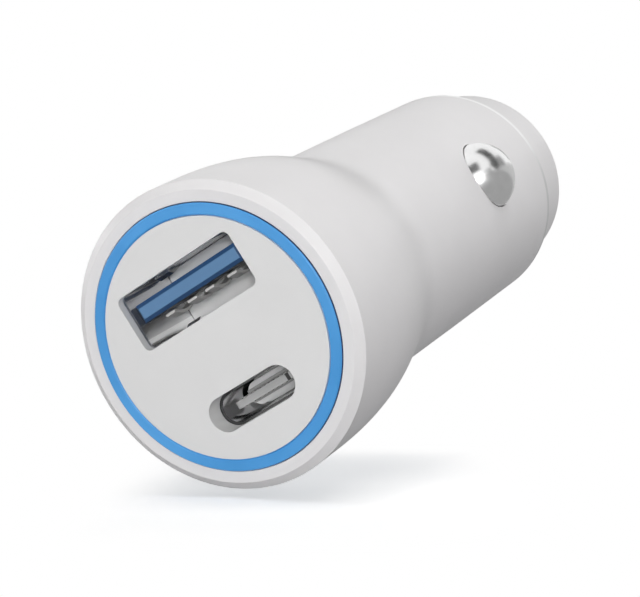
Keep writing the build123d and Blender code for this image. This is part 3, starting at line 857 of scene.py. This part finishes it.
# %% [markdown]
# ## Boards and mouldings in the barrel
# Nothing of the circuit shows on the finished plug, so one grey could do for all of it. But the pieces may
# be shown on their own, so each has the finish that such a piece has. Here these are green boards with a
# weave under the mask, black mouldings and a grey pressed core.

# %% Boards and mouldings
circuit_board, tree, shader = new_finish("circuit_board", (0.02, 0.14, 0.06), 0.35)
weave = grain(tree, 0.6, (1, 0.25, 1), 0.0)
tint(tree, weave, shader.inputs["Base Color"], (0.012, 0.1, 0.045), (0.03, 0.19, 0.08))
stir(tree, weave, shader.inputs["Roughness"], 0.28, 0.42)
lift(tree, weave, shader, 0.01)
dress(circuit_board, "power_board", "port_board")

black_plastic, tree, shader = new_finish("black_plastic", (0.03, 0.03, 0.03), 0.5)
fine = grain(tree, 0.15)
tint(tree, fine, shader.inputs["Base Color"], (0.024, 0.024, 0.024), (0.036, 0.036, 0.036))
stir(tree, fine, shader.inputs["Roughness"], 0.42, 0.58)
lift(tree, fine, shader, 0.004)
dress(black_plastic, "header_strip", "power_controller", "port_controller")

ferrite, tree, shader = new_finish("ferrite", (0.08, 0.08, 0.085), 0.7)
fine = grain(tree, 0.25)
tint(tree, fine, shader.inputs["Base Color"], (0.06, 0.06, 0.065), (0.1, 0.1, 0.105))
stir(tree, fine, shader.inputs["Roughness"], 0.6, 0.8)
lift(tree, fine, shader, 0.012, 0.1)
dress(ferrite, "power_inductor")

# %% [markdown]
# ## Cans, chips, lamps and brass
# The two large capacitors have aluminium cans, the small chips are tan ceramic, the lamps that light the
# ring are pale, and the bracket and the terminal that carry the current are brass. The metals have a
# stretched noise, as the port shells have, because sheet is streaked in one direction.

# %% Cans, chips, lamps and brass
can_metal, tree, shader = new_finish("can_metal", (0.7, 0.7, 0.72), 0.3, 1.0)
streaks = grain(tree, 0.15, (1, 0.08, 1))
tint(tree, streaks, shader.inputs["Base Color"], (0.66, 0.66, 0.68), (0.74, 0.74, 0.76))
stir(tree, streaks, shader.inputs["Roughness"], 0.22, 0.38)
lift(tree, streaks, shader, 0.002, 0.1)
dress(can_metal, "input_capacitor", "output_capacitor")

ceramic, tree, shader = new_finish("ceramic", (0.5, 0.38, 0.26), 0.5)
fine = grain(tree, 0.2)
tint(tree, fine, shader.inputs["Base Color"], (0.46, 0.34, 0.23), (0.54, 0.42, 0.29))
stir(tree, fine, shader.inputs["Roughness"], 0.42, 0.58)
lift(tree, fine, shader, 0.003, 0.05)
dress(ceramic, "chip_capacitors", "chip_fuse")

lamp_body, tree, shader = new_finish("lamp_body", (0.82, 0.82, 0.76), 0.35)
fine = grain(tree, 0.2)
tint(tree, fine, shader.inputs["Base Color"], (0.79, 0.79, 0.72), (0.85, 0.85, 0.8))
stir(tree, fine, shader.inputs["Roughness"], 0.3, 0.4)
lift(tree, fine, shader, 0.002, 0.05)
dress(lamp_body, "indicator_leds")

brass, tree, shader = new_finish("brass", (0.72, 0.56, 0.28), 0.32, 1.0)
streaks = grain(tree, 0.12, (0.1, 1, 1))
tint(tree, streaks, shader.inputs["Base Color"], (0.66, 0.5, 0.24), (0.78, 0.62, 0.32))
stir(tree, streaks, shader.inputs["Roughness"], 0.25, 0.4)
lift(tree, streaks, shader, 0.002, 0.06)
dress(brass, "ground_bracket", "tip_terminal")

# %% [markdown]
# ## Springs
# A compression spring is round wire wound into a coil, with its end turns laid close so that they sit flat.
# A curve with a bevel could do it, but the spin operator winds it directly: a circle is swept round the
# axis while it climbs, first slowly for the end turn, then at the working pitch, then slowly again.

# %% Winding a spring
close_pitch = 1.05
wire_sides = 12
spring_steel, tree, shader = new_finish("spring_steel", (0.55, 0.55, 0.56), 0.25, 1.0)
streaks = grain(tree, 0.08)
tint(tree, streaks, shader.inputs["Base Color"], (0.5, 0.5, 0.51), (0.6, 0.6, 0.61))
stir(tree, streaks, shader.inputs["Roughness"], 0.2, 0.32)
lift(tree, streaks, shader, 0.001)


def wind_spring(node, along, wire, turns, steps=28):
    """Winds round wire in the room that a CAD spring takes, along the axis X (0) or Y (1)."""
    low, high = (Vector(corner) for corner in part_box(node))
    length = (high - low)[along]
    radius = (high - low)[2] / 2 - wire / 2
    bm = bmesh.new()
    bmesh.ops.create_circle(bm, cap_ends=False, segments=wire_sides, radius=wire / 2)
    bmesh.ops.rotate(bm, verts=bm.verts, cent=(0, 0, 0), matrix=Matrix.Rotation(math.pi / 2, 3, "X"))
    bmesh.ops.translate(bm, verts=bm.verts, vec=(radius, 0, wire / 2))
    end_rise = wire * close_pitch
    middle_rise = length - wire - 2 * end_rise
    swept = list(bm.verts) + list(bm.edges)
    for rise, count in ((end_rise, 1), (middle_rise, turns), (end_rise, 1)):
        made = bmesh.ops.spin(bm, geom=swept, cent=(0, 0, 0), axis=(0, 0, 1), angle=count * 2 * math.pi,
                              dvec=(0, 0, rise / (count * steps)), steps=count * steps)
        swept = made["geom_last"]
    bmesh.ops.holes_fill(bm, edges=[e for e in bm.edges if e.is_boundary], sides=0)
    bmesh.ops.recalc_face_normals(bm, faces=bm.faces)
    lay = Matrix.Rotation(math.pi / 2, 4, "Y") if along == 0 else Matrix.Rotation(-math.pi / 2, 4, "X")
    seat = (low + high) / 2
    seat[along] = low[along]
    bmesh.ops.transform(bm, verts=bm.verts, matrix=Matrix.Translation(seat) @ lay)
    for face in bm.faces:
        face.smooth = True
    mesh = bpy.data.meshes.new(node + "_wire")
    bm.to_mesh(mesh)
    bm.free()
    mesh.materials.append(spring_steel)
    piece = bpy.data.objects.new(node + "_wire", mesh)
    scene.collection.objects.link(piece)
    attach(piece, "plug")
    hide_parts(node)
    print(piece.name, "length", round(length * 1000, 2), "mm, faces", len(mesh.polygons))
    return piece, low, high


print("spring_steel", len(tree.nodes), "nodes")

# %% [markdown]
# ## The springs in place
# Each contact presses in against its spring, but here nothing shortens the coils: the three are wound at
# full length, each with a mesh of its own.

# %% Springs
coil, low, high = wind_spring("ground_spring_right", along=0, wire=0.0004, turns=4)
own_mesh(coil)
coil, low, high = wind_spring("ground_spring_left", along=0, wire=0.0004, turns=4)
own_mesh(coil)
coil, low, high = wind_spring("tip_spring", along=1, wire=0.0005, turns=6)
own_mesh(coil)
